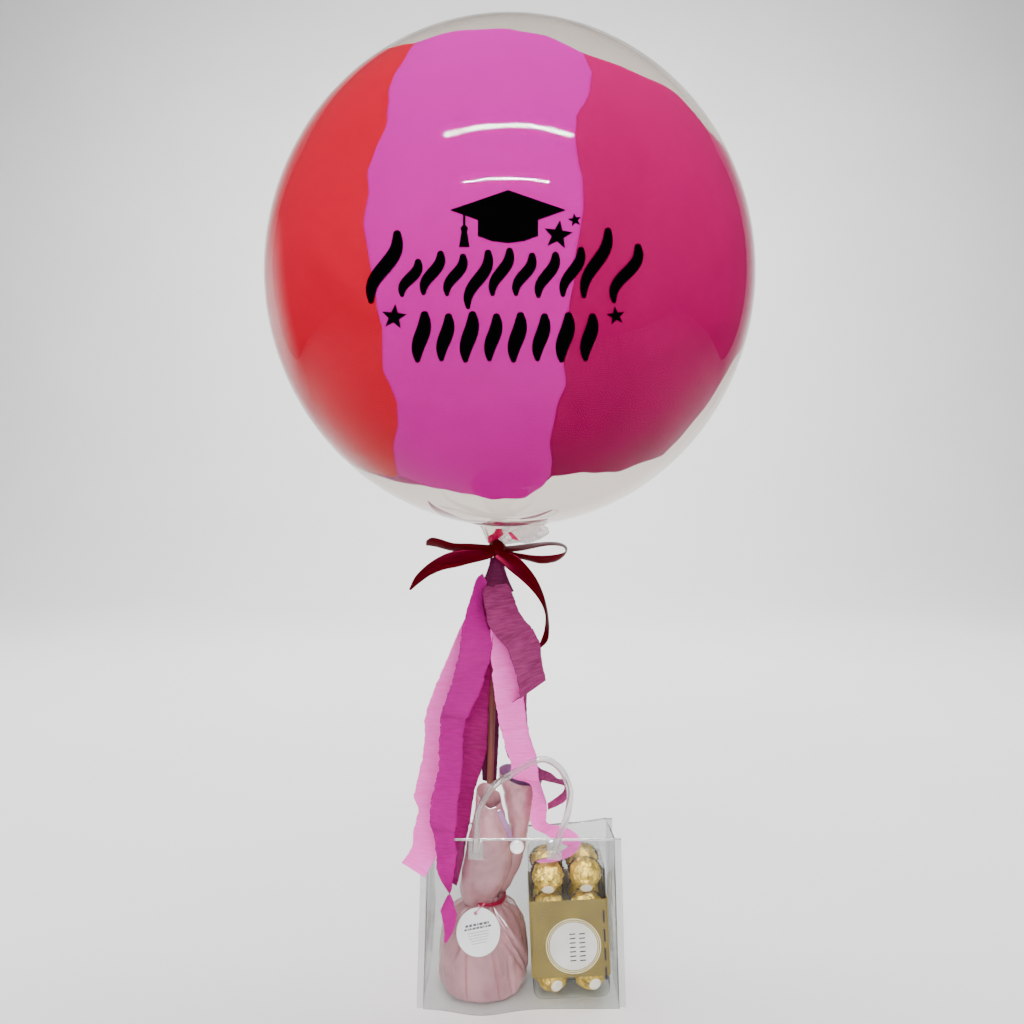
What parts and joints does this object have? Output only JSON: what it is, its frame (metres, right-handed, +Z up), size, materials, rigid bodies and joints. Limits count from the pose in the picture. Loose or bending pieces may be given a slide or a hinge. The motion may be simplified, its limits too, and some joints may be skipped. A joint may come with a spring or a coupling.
{
  "type": "clear bubble balloon on a stick, with a gift bag at its foot",
  "caption": "Clear bubble balloon with a painted colour layer on a stick, tied with a bow and crepe streamers, in a paper-wrapped foot inside a clear gift bag of sweets.",
  "frame": {"origin": "on the floor, under the bubble's centre", "axes": "+Z up along the stick to the bubble, -Y towards the front of the bag, +X to the bag's right"},
  "size_m": [0.4572, 0.4572, 0.8976],
  "materials": {
    "clear_film": "clear, glossy",
    "clear_tube": "clear, glossy",
    "stick_wood": "plain",
    "red_satin": "satin",
    "pink_thread": "matte",
    "pink_paper": "glossy",
    "white_card": "matte",
    "white_plastic": "glossy",
    "gold_card": "satin",
    "gold_foil": "crinkled foil",
    "cup_paper": "matte",
    "crepe_pale": "crepe, matte",
    "crepe_fuchsia": "crepe, matte",
    "crepe_magenta": "crepe, matte",
    "crepe_mauve": "crepe, matte",
    "crepe_plum": "crepe, matte"
  },
  "bodies": {
    "root": {"clear_bubble": "clear_film", "support_stick": "stick_wood", "ribbon_bow": "red_satin", "crepe_wrap": "crepe_plum", "streamer_pale_left": "crepe_pale", "streamer_fuchsia": "crepe_fuchsia", "streamer_magenta": "crepe_magenta", "streamer_mauve": "crepe_mauve", "streamer_pale_right": "crepe_pale", "streamer_plum": "crepe_plum", "wrapped_foot": "pink_paper", "foot_tie": "red_satin", "tag": "white_card", "tag_loop": "pink_thread", "bag": "clear_film", "bag_handle": "clear_tube", "handle_weld_left": "clear_film", "handle_weld_right": "clear_film", "snap_button": "white_plastic", "box_lid": "clear_film", "box_tray": "clear_film", "box_band": "gold_card", "sweet_01": "gold_foil", "cup_01": "cup_paper", "sweet_02": "gold_foil", "cup_02": "cup_paper", "sweet_03": "gold_foil", "cup_03": "cup_paper", "sweet_04": "gold_foil", "cup_04": "cup_paper", "sweet_05": "gold_foil", "cup_05": "cup_paper", "sweet_06": "gold_foil", "cup_06": "cup_paper", "sweet_07": "gold_foil", "cup_07": "cup_paper", "sweet_08": "gold_foil", "cup_08": "cup_paper", "sweet_09": "gold_foil", "cup_09": "cup_paper", "sweet_10": "gold_foil", "cup_10": "cup_paper", "sweet_11": "gold_foil", "cup_11": "cup_paper", "sweet_12": "gold_foil", "cup_12": "cup_paper", "sweet_13": "gold_foil", "cup_13": "cup_paper", "sweet_14": "gold_foil", "cup_14": "cup_paper", "sweet_15": "gold_foil", "cup_15": "cup_paper", "sweet_16": "gold_foil", "cup_16": "cup_paper"}
  },
  "joints": []
}
